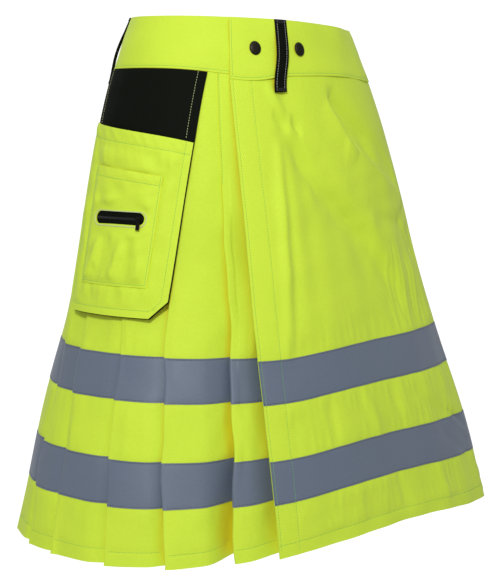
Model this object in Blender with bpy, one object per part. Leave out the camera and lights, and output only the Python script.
# Utility kilt, filled out as it is when worn. Metres, +Z up, the wearer faces -Y.
# The origin is the middle of the waist opening, at half the waistband's height.
import math
from collections import namedtuple

import bmesh
import bpy
import numpy as np
from mathutils import Matrix, Vector

# Size along the height
BAND_HEIGHT = 0.068
LENGTH = 0.592
TOP = BAND_HEIGHT / 2
SEAM_GAP = 0.0003
LAYER_GAP = 0.0004

# Walls
CLOTH = 0.0010
BAND_WALL = 0.0028
TAPE_WALL = 0.0010
LOOP_WALL = 0.0016

# Plan of the worn kilt at five depths below the waistband's top edge
Section = namedtuple("Section", "depth half_width front back squareness lean")
SECTIONS = (
    Section(0.000, 0.147, 0.110, 0.101, 2.06, 0.000),
    Section(0.068, 0.174, 0.125, 0.120, 2.08, 0.003),
    Section(0.375, 0.259, 0.184, 0.186, 2.16, 0.017),
    Section(0.484, 0.293, 0.206, 0.204, 2.35, 0.022),
    Section(0.592, 0.326, 0.220, 0.219, 2.45, 0.0275),
)
# The whole kilt leans to the wearer's front left, and its waist rises to the right back
LEAN_TURN = math.radians(45)
WAIST_TILT = 0.030

# How far the cloth hangs below its level plane, by azimuth, at five depths
Level = namedtuple("Level", "azimuth top seam upper lower hem")
LEVELS = (
    Level(-180.0, 0.0000, 0.0000, 0.0000, 0.0000, 0.0000),
    Level(-140.0, 0.0000, -0.0030, 0.0030, 0.0035, 0.0070),
    Level(-105.0, 0.0010, -0.0060, 0.0045, 0.0055, 0.0110),
    Level(-68.0, 0.0000, -0.0070, 0.0045, 0.0062, 0.0085),
    Level(-50.0, 0.0000, -0.0030, 0.0050, 0.0045, 0.0045),
    Level(-38.0, 0.0000, -0.0010, 0.0040, 0.0020, -0.0020),
    Level(-20.0, 0.0005, -0.0028, -0.0010, -0.0042, -0.0072),
    Level(18.0, 0.0030, -0.0045, -0.0042, -0.0042, -0.0074),
    Level(50.0, 0.0060, 0.0000, -0.0040, 0.0015, 0.0060),
    Level(90.0, 0.0030, 0.0000, 0.0000, 0.0000, 0.0030),
    Level(180.0, 0.0000, 0.0000, 0.0000, 0.0000, 0.0000),
)
LEVEL_DEPTHS = (0.000, 0.068, 0.399, 0.508, 0.592)

# A cross-section runs from the first azimuth to the last, so that every piece lies in one run
FIRST_AZIMUTH = -320.0
LAST_AZIMUTH = 140.0
MITRE_LIMIT = 0.6
SHARP_ANGLE = math.radians(50)
FRAME_STEP = 0.002

# Knife pleats: azimuth of each fold edge, in degrees from the front, negative round the wearer's
# right, and how deep its hidden turn lies compared with the others
Pleat = namedtuple("Pleat", "at_seam at_tape at_hem depth_share")
PLEATS = (
    Pleat(-55.0, -51.2, -51.1, 1.75),
    Pleat(-69.0, -68.3, -65.2, 1.00),
    Pleat(-82.5, -81.1, -77.6, 1.00),
    Pleat(-96.0, -95.0, -92.4, 0.95),
    Pleat(-108.5, -105.5, -101.5, 0.90),
    Pleat(-121.0, -118.0, -113.5, 1.05),
)
BACK_PLEATS = 12
LAST_PLEAT_AZIMUTH = -279.5
PLEAT_UNEVEN = 0.08
PLEAT_UNEVEN_TURN = 2.4
# Depth from fold edge to hidden turn, and width of the hidden tuck, down the skirt
Opening = namedtuple("Opening", "depth inward tuck fold turn")
OPENINGS = (
    Opening(0.068, 0.0046, 0.022, 0.0014, 0.0014),
    Opening(0.200, 0.0056, 0.022, 0.0015, 0.0018),
    Opening(0.375, 0.0100, 0.018, 0.0018, 0.0043),
    Opening(0.484, 0.0150, 0.016, 0.0024, 0.0048),
    Opening(0.592, 0.0240, 0.014, 0.0030, 0.0060),
)
FACE_SHARES = (0.25, 0.5, 0.75)

# Outer apron: free edge at the wearer's right, and the fold edge at the wearer's left
APRON_EDGE_DEPTHS = (0.068, 0.195, 0.350, 0.467, 0.592)
APRON_EDGE_AZIMUTHS = (-50.5, -48.1, -46.3, -43.9, -42.5)
APRON_EDGE_LIFTS = (0.0, 0.009, 0.020, 0.014, 0.011)
APRON_LIFT = 0.0036
APRON_LEFT_DEPTHS = (0.068, 0.195, 0.300, 0.420, 0.592)
APRON_LEFT_AZIMUTHS = (62.0, 56.0, 52.5, 50.5, 49.5)
APRON_RETURN = 0.024
RETURN_LIFT = 0.0014
RETURN_FOLD = 0.0020
RETURN_UNDER = 0.0022
APRON_COLUMNS = 26
UNDER_APRON_END = 38.0
UNDER_COLUMNS = 14
UNDER_SINK_AT_SEAM = 0.0012
UNDER_SINK = 0.0070
UNDER_SINK_RUN = 0.040
EDGE_RELEASE = 0.110
EDGE_RELEASE_GROWTH = 0.25

# Creases of the outer apron: a trough or ridge from one place to another. One degree of azimuth
# counts as a fixed length of cloth there.
CREASE_DEGREE = 0.0035
CREASE_END = 0.1
Crease = namedtuple("Crease", "from_azimuth from_depth to_azimuth to_depth width height")
APRON_CREASES = (
    Crease(6.0, 0.095, 46.0, 0.195, 0.016, -0.0045),
    Crease(-29.0, 0.085, 19.0, 0.335, 0.022, -0.0030),
    Crease(-27.0, 0.125, -29.5, 0.350, 0.016, 0.0030),
)

# Depths of the grid's rows, with the edges of both tapes among them
UPPER_TAPE = (0.375, 0.423)
LOWER_TAPE = (0.484, 0.532)
UPPER_ROWS = (BAND_HEIGHT + SEAM_GAP, 0.095, 0.125, 0.155, 0.190, 0.230, 0.280, 0.330)
ROWS = UPPER_ROWS + UPPER_TAPE + LOWER_TAPE + (0.562, LENGTH)
BAND_ROWS = (0.0, 0.023, 0.046, BAND_HEIGHT)

# Waistband: where its three stretches meet and how far each lies out
UNDER_BAND_START = -38.0
UNDER_BAND_END = 44.0
BAND_LIFT = 0.0002
OUTER_BAND_LIFT = 0.0036
BAND_RAMP_START = -258.0
BAND_STEP = 6.0

# Belt loops: azimuth at the top and at the foot
Loop = namedtuple("Loop", "name top foot on_apron")
LOOPS = (
    Loop("belt_loop_front", -22.4, -27.4, True),
    Loop("belt_loop_left", -282.0, -283.0, False),
    Loop("belt_loop_left_back", -230.0, -231.0, False),
    Loop("belt_loop_back", -180.0, -180.0, False),
    Loop("belt_loop_right_back", -118.0, -118.5, False),
)
LOOP_WIDTH = 0.016
LOOP_LENGTH = 0.086
LOOP_BULGE = 0.0030
LOOP_ROWS = 9

# Snaps on the outer apron's waistband
SNAPS = (("snap_outer", -38.6), ("snap_inner", -12.2))
SNAP_RADIUS = 0.0083
SNAP_HEIGHT = 0.0030
SNAP_DEPTH = 0.0355
# Radius and height along the cap's profile, as shares of the cap's own
SNAP_PROFILE = ((0.0, 0.0), (1.0, 0.0), (1.0, 0.25), (0.86, 0.55), (0.55, 0.85), (0.0, 1.0))
SNAP_STEPS = 20
SAME_POINT = 1e-6

# Cargo pockets. Across runs towards the front, below is the depth under the waistband's top edge.
POCKET_WIDTH = 0.152
POCKET_TOP = BAND_HEIGHT + SEAM_GAP
POCKET_BOTTOM = 0.3365
POCKET_CHAMFER = 0.018
POCKET_CENTRES = (-84.5, -84.6, -86.5)
POCKET_CENTRE_DEPTHS = (0.068, 0.147, 0.340)
POCKET_BACK_DEPTHS = (POCKET_TOP, 0.100, 0.135, 0.168, 0.200, 0.229, 0.258, 0.290)
POCKET_FRONT_SHARES = (0.0, 0.17, 0.33, 0.5, 0.66, 0.83, 1.0)
LEFT_POCKET_SHIFT = 12.0
POCKET_LIFT_TOP = 0.0022
POCKET_LIFT_BOTTOM = 0.0042
MOUTH_MIDDLE = 0.1415
MOUTH_SLOPE = 0.12
POCKET_COLUMNS = (-1.0, -0.82, -0.54, -0.27, 0.0, 0.27, 0.54, 0.82, 1.0)
FRONT_INSET = 0.0025
FRONT_GAP = 0.0016
MOUTH_BULGE = 0.0018
MOUTH_BULGE_RUN = 0.120
PATCH_WIDTH = 0.097
PATCH_CENTRE = 0.0005
PATCH_TOP = 0.184
PATCH_BOTTOM = 0.3045
PATCH_SLOPE = 0.11
PATCH_RISE = 0.0016
PATCH_RIM = 0.010
PATCH_SHARES = (0.0, 0.08, 0.3, 0.5, 0.7, 0.92, 1.0)
ZIP_SLOT_START = -0.012
ZIP_SLOT_DEPTH = 0.028
ZIP_LENGTH = 0.071
ZIP_HEIGHT = 0.0145
ZIP_CENTRE = 0.002
ZIP_DEPTH = 0.2355
ZIP_TAPE_MARGIN = 0.005
ZIP_TAPE_WALL = 0.0009

# Slider and pull tab of each pocket's zip
SLIDER_FROM_END = 0.0075
SLIDER_SIZE = (0.0090, 0.0075, 0.0022)
POST_SIZE = (0.0011, 0.0024, 0.0032)
POST_SPACING = 0.0062
POST_SINK = 0.0002
BAR_RADIUS = 0.0007
BAR_STEPS = 10
BAR_ABOVE_BODY = 0.0021
KNUCKLE_RADIUS = 0.0017
KNUCKLE_STEPS = 14
KNUCKLE_BORE = 0.00105
BORE_STEPS = 12
TAB_WIDTH = 0.0044
TAB_LENGTH = 0.0125
TAB_THICKNESS = 0.0012

# Colours, as they look in daylight, in sRGB
HI_VIS = "cfe93f"
TAPE_GREY = "68748a"
BLACK_CLOTH = "1b1f17"
SNAP_METAL = "2c2622"
ZIP_METAL = "2a2a2a"


def linear_colour(text):
    """Turn an sRGB hex colour into the linear values that a shader takes."""
    values = [int(text[place:place + 2], 16) / 255 for place in (0, 2, 4)]
    return [(v / 12.92 if v <= 0.04045 else ((v + 0.055) / 1.055) ** 2.4) for v in values] + [1.0]


def make_material(name, colour, roughness, metallic=0.0):
    """A plain surface of one colour."""
    material = bpy.data.materials.new(name)
    material.use_nodes = True
    surface = material.node_tree.nodes["Principled BSDF"]
    surface.inputs["Base Color"].default_value = linear_colour(colour)
    surface.inputs["Roughness"].default_value = roughness
    surface.inputs["Metallic"].default_value = metallic
    return material


def smooth_value(places, values, place):
    """Read a smooth curve through a short column of values."""
    places = np.asarray(places, float)
    values = np.asarray(values, float)
    slopes = np.gradient(values, places)
    k = int(np.clip(np.searchsorted(places, place) - 1, 0, len(places) - 2))
    span = places[k + 1] - places[k]
    t = min(max((place - places[k]) / span, 0.0), 1.0)
    start = (2 * t ** 3 - 3 * t ** 2 + 1) * values[k] + (t ** 3 - 2 * t ** 2 + t) * span * slopes[k]
    end = (3 * t ** 2 - 2 * t ** 3) * values[k + 1] + (t ** 3 - t ** 2) * span * slopes[k + 1]
    return float(start + end)


def ease(value):
    """Go from 0 to 1 with a soft start and a soft end."""
    value = min(max(value, 0.0), 1.0)
    return value * value * (3 - 2 * value)


def column(table, name):
    """One named column of a table."""
    return [getattr(row, name) for row in table]


def level_drop(azimuth, depth):
    """How far the cloth hangs below its level plane at one place."""
    azimuth = (azimuth + 180.0) % 360.0 - 180.0
    azimuths = column(LEVELS, "azimuth")
    drops = [smooth_value(azimuths, column(LEVELS, name), azimuth) for name in Level._fields[1:]]
    return smooth_value(LEVEL_DEPTHS, drops, depth)


class Ring:
    """The kilt's plan at one depth: places are found by their length round it from the front."""

    def __init__(self, depth):
        depths = column(SECTIONS, "depth")
        self.depth = depth
        self.half_width = smooth_value(depths, column(SECTIONS, "half_width"), depth)
        self.front = smooth_value(depths, column(SECTIONS, "front"), depth)
        self.back = smooth_value(depths, column(SECTIONS, "back"), depth)
        self.squareness = smooth_value(depths, column(SECTIONS, "squareness"), depth)
        self.lean = smooth_value(depths, column(SECTIONS, "lean"), depth)
        self.azimuths = np.arange(FIRST_AZIMUTH, LAST_AZIMUTH + 1.0)
        points = np.array([self.plan(azimuth, 0.0) for azimuth in self.azimuths])
        steps = np.linalg.norm(np.diff(points, axis=0), axis=1)
        self.lengths = np.concatenate([[0.0], np.cumsum(steps)])
        self.lengths -= np.interp(0.0, self.azimuths, self.lengths)
        self.girth = self.length(LAST_AZIMUTH) - self.length(LAST_AZIMUTH - 360.0)

    def plan(self, azimuth, lift):
        """A point of the plan, moved out by lift."""
        turn = math.radians(azimuth)
        across = math.sin(turn)
        ahead = math.cos(turn)
        deep = self.front if ahead > 0 else self.back
        power = self.squareness
        size = (abs(across / self.half_width) ** power + abs(ahead / deep) ** power) ** (-1 / power)
        x = size * across
        y = -size * ahead
        out_x = math.copysign(abs(x / self.half_width) ** (power - 1) / self.half_width, x)
        out_y = math.copysign(abs(y / deep) ** (power - 1) / deep, y)
        out = math.hypot(out_x, out_y)
        x += lift * out_x / out + self.lean * math.sin(LEAN_TURN)
        y += lift * out_y / out - self.lean * math.cos(LEAN_TURN)
        return x, y

    def length(self, azimuth):
        """Length round the ring from the front to an azimuth."""
        return float(np.interp(azimuth, self.azimuths, self.lengths))

    def azimuth(self, length):
        """Azimuth at a length round the ring."""
        return float(np.interp(length, self.lengths, self.azimuths))

    def place(self, length, lift):
        """A point in space at a length round the ring, moved out by lift."""
        azimuth = self.azimuth(length)
        x, y = self.plan(azimuth, lift)
        slant = WAIST_TILT * (1 - self.depth / LENGTH)
        tilt = -slant * (x * math.sin(LEAN_TURN) - y * math.cos(LEAN_TURN))
        return Vector((x, y, TOP - self.depth + tilt - level_drop(azimuth, self.depth)))


def moved_out(path, distance):
    """Move a cross-section's path out from its cloth, with mitred corners."""
    points = np.array(path)
    legs = np.diff(points, axis=0)
    legs /= np.linalg.norm(legs, axis=1)[:, None]
    outs = np.stack([-legs[:, 1], legs[:, 0]], axis=1)
    before = np.vstack([outs[:1], outs])
    after = np.vstack([outs, outs[-1:]])
    middle = before + after
    middle /= np.linalg.norm(middle, axis=1)[:, None]
    reach = 1 / np.maximum((middle * after).sum(axis=1), MITRE_LIMIT)
    return [tuple(point) for point in points + middle * (reach * distance)[:, None]]


def add_side(builder, grid):
    """One side of a wall: a grid of vertices, found by their row and column."""
    rows = len(grid)
    columns = len(grid[0])
    made = bmesh.ops.create_grid(builder, x_segments=columns - 1, y_segments=rows - 1, size=1.0)
    side = {}
    for vertex in made["verts"]:
        across = round((vertex.co.x + 1) / 2 * (columns - 1))
        down = round((1 - vertex.co.y) / 2 * (rows - 1))
        vertex.co = grid[down][across]
        side[down, across] = vertex
    return side


def border(rows, columns):
    """Rows and columns of the vertices round a grid's edge, in order."""
    down = [(row, 0) for row in range(rows - 1)]
    across = [(rows - 1, place) for place in range(columns - 1)]
    up = [(row, columns - 1) for row in range(rows - 1, 0, -1)]
    back = [(0, place) for place in range(columns - 1, 0, -1)]
    return down + across + up + back


def make_wall(name, material, outer, inner):
    """One closed cloth wall between two grids: rows run down, columns run to the wearer's left."""
    builder = bmesh.new()
    outside = add_side(builder, outer)
    inside = add_side(builder, inner)
    rim = border(len(outer), len(outer[0]))
    for here, after in zip(rim, rim[1:] + rim[:1]):
        builder.faces.new((outside[here], inside[here], inside[after], outside[after]))
    bmesh.ops.recalc_face_normals(builder, faces=builder.faces)
    mesh = bpy.data.meshes.new(name)
    builder.to_mesh(mesh)
    builder.free()
    mesh.shade_smooth()
    mesh.set_sharp_from_angle(angle=SHARP_ANGLE)
    mesh.materials.append(material)
    wall = bpy.data.objects.new(name, mesh)
    bpy.context.scene.collection.objects.link(wall)
    return wall


def make_panel(name, material, depths, path_at, thickness, out=0.0):
    """A wall on both sides of a cross-section's path, or of that path moved out."""
    outer = grid_of(depths, path_at, out + thickness / 2)
    inner = grid_of(depths, path_at, out - thickness / 2)
    return make_wall(name, material, outer, inner)


def grid_of(depths, path_at, out):
    """Place a cross-section's path at each depth."""
    grid = []
    for depth in depths:
        ring = Ring(depth)
        path = moved_out(path_at(ring), out)
        grid.append([ring.place(length, lift) for length, lift in path])
    return grid


def pleat_list():
    """All fold edges, from the one beside the apron to the last at the wearer's left."""
    pleats = list(PLEATS)
    first = PLEATS[-1]
    for number in range(1, BACK_PLEATS + 1):
        share = number / BACK_PLEATS
        edges = [start + share * (LAST_PLEAT_AZIMUTH - start) for start in first[:3]]
        uneven = PLEAT_UNEVEN * math.sin(PLEAT_UNEVEN_TURN * number)
        pleats.append(Pleat(*edges, 1.0 + uneven))
    return pleats


ALL_PLEATS = pleat_list()


def fold_edge(ring, pleat):
    """Length round the ring at which a pleat's fold edge lies."""
    depths = (BAND_HEIGHT, UPPER_TAPE[0], LENGTH)
    return ring.length(float(np.interp(ring.depth, depths, pleat[:3])))


def opening(ring, name):
    """One of the sizes of the pleats' opening at this depth."""
    return smooth_value(column(OPENINGS, "depth"), column(OPENINGS, name), ring.depth)


def hidden_part(ring, pleat):
    """The folded-under part of a pleat: fold edge, its inner side, and the hidden turn."""
    edge = fold_edge(ring, pleat)
    loose = ease((ring.depth - BAND_HEIGHT) / (UPPER_TAPE[0] - BAND_HEIGHT))
    inward = opening(ring, "inward") * (1 + (pleat.depth_share - 1) * loose)
    turn = edge + opening(ring, "tuck")
    fold_in = -opening(ring, "fold")
    turn_out = opening(ring, "turn") - inward
    return (edge, 0.0), (edge, fold_in), (turn, turn_out), (turn, -inward)


def seam_point(fold_inner, turn_outer, side):
    """The middle of a folded-under part, a seam's half gap to one side."""
    run = turn_outer[0] - fold_inner[0]
    rise = turn_outer[1] - fold_inner[1]
    share = 0.5 + side * SEAM_GAP / 2 / math.hypot(run, rise)
    return fold_inner[0] + share * run, fold_inner[1] + share * rise


def face_points(start, end):
    """Points on a pleat's face, from its hidden turn out to its fold edge."""
    return [tuple(a + share * (b - a) for a, b in zip(start, end)) for share in FACE_SHARES]


def apron_left(depth):
    """Azimuth of the outer apron's fold edge at the wearer's left."""
    return smooth_value(APRON_LEFT_DEPTHS, APRON_LEFT_AZIMUTHS, max(depth, BAND_HEIGHT))


def pleated_path(first, last):
    """Cross-section from a seam inside pleat number last back to a seam inside pleat number first."""
    def path_at(ring):
        parts = [hidden_part(ring, pleat) for pleat in ALL_PLEATS]
        path = [seam_point(parts[first][1], parts[first][2], 1)]
        for number in range(first, last):
            turn_outer, turn_inner = parts[number][2:]
            edge, edge_inner = parts[number + 1][:2]
            path.extend([turn_outer, turn_inner])
            path.extend(face_points(turn_inner, edge))
            path.extend([edge, edge_inner])
        path.append(seam_point(parts[last][1], parts[last][2], -1))
        return path[::-1]
    return path_at


def last_pleated_path(first):
    """Cross-section from the outer apron's return back to a seam inside pleat number first."""
    last = len(ALL_PLEATS) - 1

    def path_at(ring):
        turn_outer, turn_inner = hidden_part(ring, ALL_PLEATS[last])[2:]
        turn = ring.length(apron_left(ring.depth)) - APRON_RETURN - ring.girth
        middle = turn + (APRON_RETURN - SEAM_GAP) / 2
        under = (turn, -RETURN_UNDER)
        face = face_points(turn_inner, under)[::-1]
        path = [(middle, RETURN_LIFT), (turn, RETURN_LIFT), under] + face + [turn_inner, turn_outer]
        return path + pleated_path(first, last)(ring)[1:]
    return path_at


def under_apron_lift(depth, past_turn):
    """The under apron sinks away from the outer apron once it is past the turn that it covers."""
    loose = ease((depth - BAND_HEIGHT) / UNDER_SINK_RUN)
    sink = UNDER_SINK_AT_SEAM + (UNDER_SINK - UNDER_SINK_AT_SEAM) * loose
    return -sink * ease(past_turn / UNDER_SINK_RUN)


def under_apron_path(ring):
    """Cross-section of the under apron, from the seam inside its first fold to its hidden edge."""
    edge, edge_inner, turn_outer, _ = hidden_part(ring, ALL_PLEATS[0])
    end = ring.length(UNDER_APRON_END)
    path = [seam_point(edge_inner, turn_outer, -1), edge_inner, edge]
    for number in range(1, UNDER_COLUMNS + 1):
        length = edge[0] + number / UNDER_COLUMNS * (end - edge[0])
        path.append((length, under_apron_lift(ring.depth, length - turn_outer[0])))
    return path


def crease_lift(creases, azimuth, depth):
    """Height of all creases at one place."""
    lift = 0.0
    for crease in creases:
        across = crease.to_azimuth - crease.from_azimuth
        down = crease.to_depth - crease.from_depth
        run = Vector((across * CREASE_DEGREE, down))
        here = Vector(((azimuth - crease.from_azimuth) * CREASE_DEGREE, depth - crease.from_depth))
        share = here.dot(run) / run.length_squared
        off = here - min(max(share, 0.0), 1.0) * run
        fade = math.sin(math.pi * min(max(CREASE_END + (1 - 2 * CREASE_END) * share, 0.0), 1.0))
        lift += crease.height * fade * math.exp(-off.length_squared / crease.width ** 2)
    return lift


def apron_lift(ring, length):
    """How far out the outer apron lies: it stands off the pleats beside its free edge."""
    edge = ring.length(apron_edge(ring.depth))
    standing = smooth_value(APRON_EDGE_DEPTHS, APRON_EDGE_LIFTS, max(ring.depth, BAND_HEIGHT))
    release = 1 - ease((length - edge) / (EDGE_RELEASE + EDGE_RELEASE_GROWTH * ring.depth))
    return APRON_LIFT + standing * release + crease_lift(APRON_CREASES, ring.azimuth(length), ring.depth)


def apron_edge(depth):
    """Azimuth of the outer apron's free edge."""
    return smooth_value(APRON_EDGE_DEPTHS, APRON_EDGE_AZIMUTHS, max(depth, BAND_HEIGHT))


def apron_path(ring):
    """Cross-section of the outer apron, from its free edge to the seam inside its return."""
    start = ring.length(apron_edge(ring.depth))
    end = ring.length(apron_left(ring.depth))
    path = []
    for number in range(APRON_COLUMNS + 1):
        length = start + number / APRON_COLUMNS * (end - start)
        path.append((length, apron_lift(ring, length)))
    fold_inner = path[-1][1] - RETURN_FOLD
    middle = end - (APRON_RETURN - SEAM_GAP) / 2
    return path + [(end, fold_inner), (middle, RETURN_LIFT)]


def band_path(start, end, lift_at):
    """Cross-section of a stretch of waistband between two azimuths."""
    def path_at(ring):
        steps = max(2, round((end - start) / BAND_STEP))
        first = ring.length(start) + SEAM_GAP / 2
        last = ring.length(end) - SEAM_GAP / 2
        lengths = [first + number / steps * (last - first) for number in range(steps + 1)]
        return [(length, lift_at(ring.azimuth(length))) for length in lengths]
    return path_at


def pleated_band_lift(azimuth):
    """The pleated stretch lies close in, and comes out to meet the outer apron's stretch."""
    out = ease((BAND_RAMP_START - azimuth) / (BAND_RAMP_START - (APRON_LEFT_AZIMUTHS[0] - 360.0)))
    return BAND_LIFT + out * (OUTER_BAND_LIFT - BAND_LIFT)


def make_waistband(material):
    """Waistband in its three stretches: under apron, pleats and outer apron."""
    under = band_path(UNDER_BAND_START, UNDER_BAND_END, lambda azimuth: BAND_LIFT)
    pleated = band_path(APRON_LEFT_AZIMUTHS[0] - 360.0, UNDER_BAND_START, pleated_band_lift)
    outer = band_path(APRON_EDGE_AZIMUTHS[0], APRON_LEFT_AZIMUTHS[0], lambda azimuth: OUTER_BAND_LIFT)
    for name, path_at in (("under", under), ("pleated", pleated), ("outer", outer)):
        make_panel("waistband_" + name, material, BAND_ROWS, path_at, BAND_WALL)


def make_skirt(cloth, tape):
    """Aprons and pleated panels, each with its two tapes made from its own points, moved out."""
    panels = (
        ("apron_outer", apron_path),
        ("apron_under", under_apron_path),
        ("pleats_right", pleated_path(0, 6)),
        ("pleats_back", pleated_path(6, 12)),
        ("pleats_left", last_pleated_path(12)),
    )
    tape_out = CLOTH / 2 + SEAM_GAP + TAPE_WALL / 2
    for name, path_at in panels:
        make_panel(name, cloth, ROWS, path_at, CLOTH)
        make_panel("tape_upper_" + name, tape, UPPER_TAPE, path_at, TAPE_WALL, tape_out)
        make_panel("tape_lower_" + name, tape, LOWER_TAPE, path_at, TAPE_WALL, tape_out)


def make_belt_loops(material):
    """Flat loops from the waistband's top edge to just below its seam, each a little slack."""
    for loop in LOOPS:
        outer = []
        inner = []
        for number in range(LOOP_ROWS):
            share = number / (LOOP_ROWS - 1)
            depth = share * LOOP_LENGTH
            ring = Ring(depth)
            azimuth = loop.top + ease(share) * (loop.foot - loop.top)
            band_lift = OUTER_BAND_LIFT if loop.on_apron else pleated_band_lift(azimuth)
            lift = band_lift + BAND_WALL / 2 + SEAM_GAP + LOOP_WALL / 2
            lift += LOOP_BULGE * math.sin(math.pi * share) ** 2
            middle = ring.length(azimuth)
            places = [middle + side * LOOP_WIDTH / 2 for side in (-1, 0, 1)]
            outer.append([ring.place(place, lift + LOOP_WALL / 2) for place in places])
            inner.append([ring.place(place, lift - LOOP_WALL / 2) for place in places])
        make_wall(loop.name, material, outer, inner)


def surface_frame(origin, beside, below):
    """Axes at a place on the cloth: x along it, y up it, z straight out of it."""
    along = (beside - origin).normalized()
    down = (below - origin)
    down -= along * down.dot(along)
    down.normalize()
    out = along.cross(-down)
    frame = Matrix((along, -down, out)).transposed().to_4x4()
    frame.translation = origin
    return frame


def make_snaps(material):
    """Domed snap caps, turned from a profile."""
    ring = Ring(SNAP_DEPTH)
    lower = Ring(SNAP_DEPTH + FRAME_STEP)
    lift = OUTER_BAND_LIFT + BAND_WALL / 2 + SEAM_GAP
    for name, azimuth in SNAPS:
        length = ring.length(azimuth)
        origin = ring.place(length, lift)
        frame = surface_frame(origin, ring.place(length + FRAME_STEP, lift), lower.place(length, lift))
        builder = bmesh.new()
        points = [builder.verts.new((r * SNAP_RADIUS, 0.0, h * SNAP_HEIGHT)) for r, h in SNAP_PROFILE]
        edges = [builder.edges.new(pair) for pair in zip(points, points[1:])]
        bmesh.ops.spin(builder, geom=points + edges, cent=(0, 0, 0), axis=(0, 0, 1),
                       angle=math.tau, steps=SNAP_STEPS, use_merge=True)
        bmesh.ops.remove_doubles(builder, verts=builder.verts, dist=SAME_POINT)
        bmesh.ops.recalc_face_normals(builder, faces=builder.faces)
        mesh = bpy.data.meshes.new(name)
        builder.to_mesh(mesh)
        builder.free()
        mesh.shade_smooth()
        mesh.set_sharp_from_angle(angle=SHARP_ANGLE)
        mesh.materials.append(material)
        snap = bpy.data.objects.new(name, mesh)
        snap.matrix_world = frame
        bpy.context.scene.collection.objects.link(snap)


class Pocket:
    """Places on one cargo pocket. Side is 1 at the wearer's right and -1 at the left."""

    def __init__(self, side):
        self.side = side

    def place(self, across, depth, out):
        """A point at a distance across from the pocket's middle, a depth down and a lift out."""
        ring = Ring(depth)
        azimuth = float(np.interp(depth, POCKET_CENTRE_DEPTHS, POCKET_CENTRES))
        if self.side < 0:
            azimuth = -azimuth + LEFT_POCKET_SHIFT
        share = (depth - POCKET_TOP) / (POCKET_BOTTOM - POCKET_TOP)
        lift = POCKET_LIFT_TOP + share * (POCKET_LIFT_BOTTOM - POCKET_LIFT_TOP) + out
        return ring.place(ring.length(azimuth) + self.side * across, lift)

    def wall(self, name, material, middle, halves, rows, out_at, thickness):
        """A wall with a half width for each row. A row gives its depth from the place across."""
        sides = []
        for skin in (thickness / 2, -thickness / 2):
            grid = []
            for half, depth_at in zip(halves, rows):
                places = [middle + half * share * self.side for share in POCKET_COLUMNS]
                grid.append([self.place(a, depth_at(a), out_at(a, depth_at(a)) + skin) for a in places])
            sides.append(grid)
        return make_wall(name, material, *sides)

    def frame(self, across, depth, out):
        """Axes on the pocket: x along the waist, y up, z out."""
        beside = self.place(across + FRAME_STEP * self.side, depth, out)
        below = self.place(across, depth + FRAME_STEP, out)
        return surface_frame(self.place(across, depth, out), beside, below)


def sloped(depth, slope):
    """A row of a pocket that runs down towards the front."""
    return lambda across: depth + slope * across


def rows_between(top, top_slope, bottom, shares):
    """Rows from a sloped top edge to a level bottom edge."""
    return [sloped(top + share * (bottom - top), top_slope * (1 - share)) for share in shares]


def back_out(across, depth):
    """The pocket's back is the surface that the rest is measured from."""
    return 0.0


def front_out(across, depth):
    """The pocket's front lies on its back and gapes a little at the mouth."""
    low = ease((depth - MOUTH_MIDDLE) / MOUTH_BULGE_RUN)
    return FRONT_GAP + MOUTH_BULGE * (1 - low) * math.cos(across / POCKET_WIDTH * math.pi) ** 2


def zip_tape_out(across, depth):
    """The zip's tape lies on the pocket's front, below the patch."""
    return front_out(across, depth) + CLOTH / 2 + LAYER_GAP + ZIP_TAPE_WALL / 2


def patch_out(across, depth):
    """The patch is sewn flat at its edges and stands off the front round its zip."""
    from_side = PATCH_WIDTH / 2 - abs(across - PATCH_CENTRE)
    from_end = min(depth - PATCH_TOP, PATCH_BOTTOM - depth)
    rise = ease(max(min(from_side, from_end), 0.0) / PATCH_RIM)
    return front_out(across, depth) + CLOTH + LAYER_GAP + PATCH_RISE * rise


def join_shape(name, outline, depth, frame, material):
    """A prism with a given outline, from its frame's plane outwards by depth."""
    builder = bmesh.new()
    face = builder.faces.new([builder.verts.new((x, y, 0.0)) for x, y in outline])
    made = bmesh.ops.extrude_face_region(builder, geom=[face])
    moved = [item for item in made["geom"] if isinstance(item, bmesh.types.BMVert)]
    bmesh.ops.translate(builder, verts=moved, vec=(0.0, 0.0, depth))
    bmesh.ops.recalc_face_normals(builder, faces=builder.faces)
    mesh = bpy.data.meshes.new(name)
    builder.to_mesh(mesh)
    builder.free()
    mesh.materials.append(material)
    shape = bpy.data.objects.new(name, mesh)
    shape.matrix_world = frame
    bpy.context.scene.collection.objects.link(shape)
    return shape


def capsule_outline(length, height, steps=8):
    """Outline of a slot with round ends."""
    radius = height / 2
    half = length / 2 - radius
    points = []
    for end in (1, -1):
        for step in range(steps + 1):
            turn = math.pi * step / steps - math.pi / 2
            points.append((end * (half + radius * math.cos(turn)), end * radius * math.sin(turn)))
    return points


def cut(shape, cutter, operation="DIFFERENCE"):
    """Cut one object by another, or join them, and keep the second out of the model."""
    boolean = shape.modifiers.new("Cut", "BOOLEAN")
    boolean.operation = operation
    boolean.object = cutter
    boolean.solver = "EXACT"
    cutter.hide_render = True
    cutter.display_type = "WIRE"


def rectangle(x_size, y_size):
    """Outline of a rectangle about its middle."""
    x = x_size / 2
    y = y_size / 2
    return [(-x, -y), (x, -y), (x, y), (-x, y)]


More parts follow.
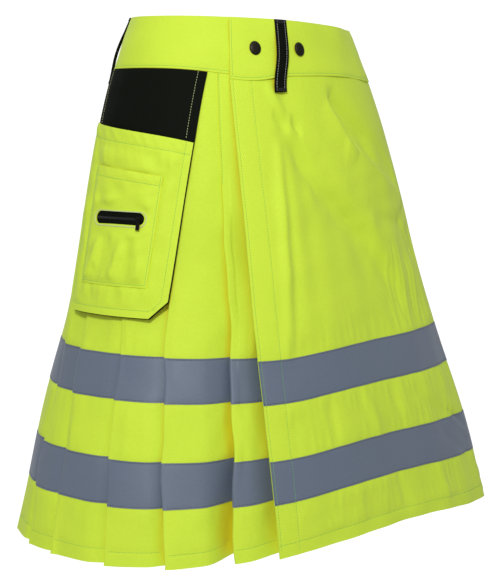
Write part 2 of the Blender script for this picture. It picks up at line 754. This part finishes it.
def make_slider(pocket, label, material):
    """Slider on the zip, with a bar between two posts for the pull tab."""
    across = ZIP_CENTRE + ZIP_LENGTH / 2 - SLIDER_FROM_END
    base = zip_tape_out(across, ZIP_DEPTH) + ZIP_TAPE_WALL / 2 + LAYER_GAP
    frame = pocket.frame(across, ZIP_DEPTH, base)
    body = join_shape("zip_slider_" + label, rectangle(*SLIDER_SIZE[:2]), SLIDER_SIZE[2], frame, material)
    for side in (-1, 1):
        foot = Matrix.Translation((side * POST_SPACING / 2, 0.0, SLIDER_SIZE[2] - POST_SINK))
        post_height = POST_SIZE[2] + POST_SINK
        post = join_shape("post", rectangle(*POST_SIZE[:2]), post_height, frame @ foot, material)
        cut(body, post, "UNION")
    bar_height = SLIDER_SIZE[2] + BAR_ABOVE_BODY
    start = Matrix.Translation((-POST_SPACING / 2, 0.0, bar_height)) @ Matrix.Rotation(math.pi / 2, 4, "Y")
    bar = join_shape("bar", round_outline(BAR_RADIUS, BAR_STEPS), POST_SPACING, frame @ start, material)
    cut(body, bar, "UNION")
    return frame @ Matrix.Translation((0.0, 0.0, bar_height))


def round_outline(radius, steps, start=0.0, end=math.tau, middle=(0.0, 0.0)):
    """Outline of a circle, or of an arc of one."""
    full = math.isclose(end - start, math.tau)
    count = steps if full else steps + 1
    turns = [start + (end - start) * step / steps for step in range(count)]
    return [(middle[0] + radius * math.cos(turn), middle[1] + radius * math.sin(turn)) for turn in turns]


def make_pull_tab(label, axis_frame, material):
    """Pull tab that hangs from the slider's bar. Its own frame lies on the bar's axis."""
    half = TAB_THICKNESS / 2
    meet = math.asin(half / KNUCKLE_RADIUS)
    tip = TAB_LENGTH - half
    outline = round_outline(KNUCKLE_RADIUS, KNUCKLE_STEPS, meet, math.tau - meet)
    outline += [(tip, -half)] + round_outline(half, 4, -math.pi / 4, math.pi / 4, (tip, 0.0)) + [(tip, half)]
    side_on = Matrix(((0, 0, 1, 0), (-1, 0, 0, 0), (0, 1, 0, 0), (0, 0, 0, 1)))
    start = Matrix.Translation((-TAB_WIDTH / 2, 0.0, 0.0))
    tab = join_shape("zip_pull_" + label, outline, TAB_WIDTH, axis_frame @ start @ side_on, material)
    bore_start = Matrix.Translation((-TAB_WIDTH, 0.0, 0.0))
    bore_outline = round_outline(KNUCKLE_BORE, BORE_STEPS)
    bore = join_shape("bore", bore_outline, TAB_WIDTH * 2, axis_frame @ bore_start @ side_on, material)
    cut(tab, bore)


def make_pocket(side, label, cloth, black, metal):
    """One cargo pocket with its patch, zip, slider and pull tab."""
    pocket = Pocket(side)
    half = POCKET_WIDTH / 2
    corner = POCKET_BOTTOM - POCKET_CHAMFER
    back_depths = POCKET_BACK_DEPTHS + (corner, POCKET_BOTTOM)
    back_halves = [half] * (len(back_depths) - 1) + [half - POCKET_CHAMFER]
    back_rows = [sloped(depth, 0.0) for depth in back_depths]
    pocket.wall("pocket_back_" + label, black, 0.0, back_halves, back_rows, back_out, CLOTH)

    front_half = half - FRONT_INSET
    front_rows = rows_between(MOUTH_MIDDLE, MOUTH_SLOPE, corner, POCKET_FRONT_SHARES)
    front_rows.append(sloped(POCKET_BOTTOM - FRONT_INSET, 0.0))
    front_halves = [front_half] * len(POCKET_FRONT_SHARES) + [front_half - POCKET_CHAMFER]
    pocket.wall("pocket_front_" + label, cloth, 0.0, front_halves, front_rows, front_out, CLOTH)

    patch_rows = rows_between(PATCH_TOP, PATCH_SLOPE, PATCH_BOTTOM, PATCH_SHARES)
    patch_halves = [PATCH_WIDTH / 2] * len(patch_rows)
    name = "pocket_patch_" + label
    patch = pocket.wall(name, cloth, PATCH_CENTRE, patch_halves, patch_rows, patch_out, CLOTH)
    slot_frame = pocket.frame(ZIP_CENTRE, ZIP_DEPTH, 0.0) @ Matrix.Translation((0.0, 0.0, ZIP_SLOT_START))
    slot_outline = capsule_outline(ZIP_LENGTH, ZIP_HEIGHT)
    slot = join_shape("slot", slot_outline, ZIP_SLOT_DEPTH, slot_frame, black)
    cut(patch, slot)

    tape_halves = [ZIP_LENGTH / 2 + ZIP_TAPE_MARGIN] * 3
    tape_high = ZIP_HEIGHT / 2 + ZIP_TAPE_MARGIN
    tape_rows = [sloped(ZIP_DEPTH + side_of * tape_high, 0.0) for side_of in (-1, 0, 1)]
    pocket.wall("zip_tape_" + label, black, ZIP_CENTRE, tape_halves, tape_rows, zip_tape_out, ZIP_TAPE_WALL)
    axis_frame = make_slider(pocket, label, metal)
    make_pull_tab(label, axis_frame, metal)


def clear_scene():
    """Remove what the scene starts with."""
    for item in list(bpy.data.objects):
        bpy.data.objects.remove(item, do_unlink=True)


def main():
    clear_scene()
    cloth = make_material("hi_vis_twill", HI_VIS, 0.75)
    tape = make_material("reflective_tape", TAPE_GREY, 0.45)
    black = make_material("black_twill", BLACK_CLOTH, 0.85)
    snap_metal = make_material("black_snap", SNAP_METAL, 0.35, 0.9)
    zip_metal = make_material("zip_metal", ZIP_METAL, 0.4, 0.9)
    make_waistband(cloth)
    make_skirt(cloth, tape)
    make_belt_loops(black)
    make_snaps(snap_metal)
    make_pocket(1, "right", cloth, black, zip_metal)
    make_pocket(-1, "left", cloth, black, zip_metal)


main()
